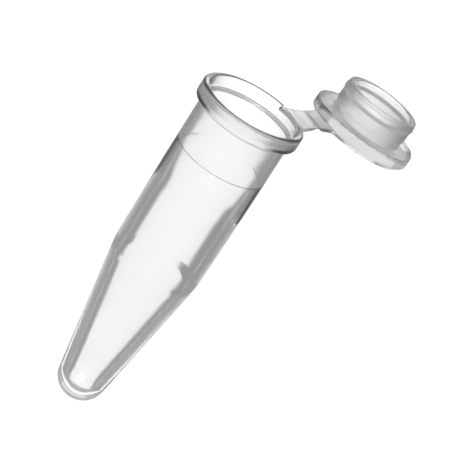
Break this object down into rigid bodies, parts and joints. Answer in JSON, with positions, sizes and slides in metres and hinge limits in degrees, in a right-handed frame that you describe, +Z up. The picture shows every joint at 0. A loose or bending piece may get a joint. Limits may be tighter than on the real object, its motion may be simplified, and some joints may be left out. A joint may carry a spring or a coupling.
{
  "type": "microcentrifuge tube",
  "caption": "Clear snap-lid microcentrifuge tube with a conical rounded tip, collared mouth, folding strap and a hollow plug lid, standing open.",
  "frame": {"origin": "on the tube's axis, at the plane of the collar's underside, where a rack or rotor carries the tube", "axes": "+Z up the tube's axis and out of its mouth; +X from the tube to the strap and the open lid; +Y by the right-hand rule, along the strap's fold lines"},
  "size_m": [0.0285, 0.012, 0.0434],
  "materials": {
    "clear_polypropylene": "natural clear polypropylene, moulded smooth, faintly milky"
  },
  "bodies": {
    "tube": {"tube_collar": "clear_polypropylene", "tube_barrel": "clear_polypropylene", "tube_cone": "clear_polypropylene"},
    "strap_near": {"strap_tube_half": "clear_polypropylene"},
    "strap_far": {"strap_lid_half": "clear_polypropylene"},
    "lid": {"lid_disc": "clear_polypropylene", "lid_tab": "clear_polypropylene", "lid_plug": "clear_polypropylene"}
  },
  "joints": [
    {"name": "collar_fold", "type": "hinge", "parent": "tube", "child": "strap_near", "pos_m": [0.00615, 0, 0.00142], "axis": [0, -1, 0], "range_deg": [0, 30.95]},
    {"name": "middle_fold", "type": "hinge", "parent": "strap_near", "child": "strap_far", "pos_m": [0.00829, 0, 0.00174], "axis": [0, -1, 0], "range_deg": [0, 137.29]},
    {"name": "lid_fold", "type": "hinge", "parent": "strap_far", "child": "lid", "pos_m": [0.01027, 0, 0.00204], "axis": [0, -1, 0], "range_deg": [0, 17.52]}
  ],
  "couplings": [
    {"joint": "collar_fold", "follows": "middle_fold", "ratio": 0.22538},
    {"joint": "lid_fold", "follows": "middle_fold", "ratio": 0.12751}
  ]
}
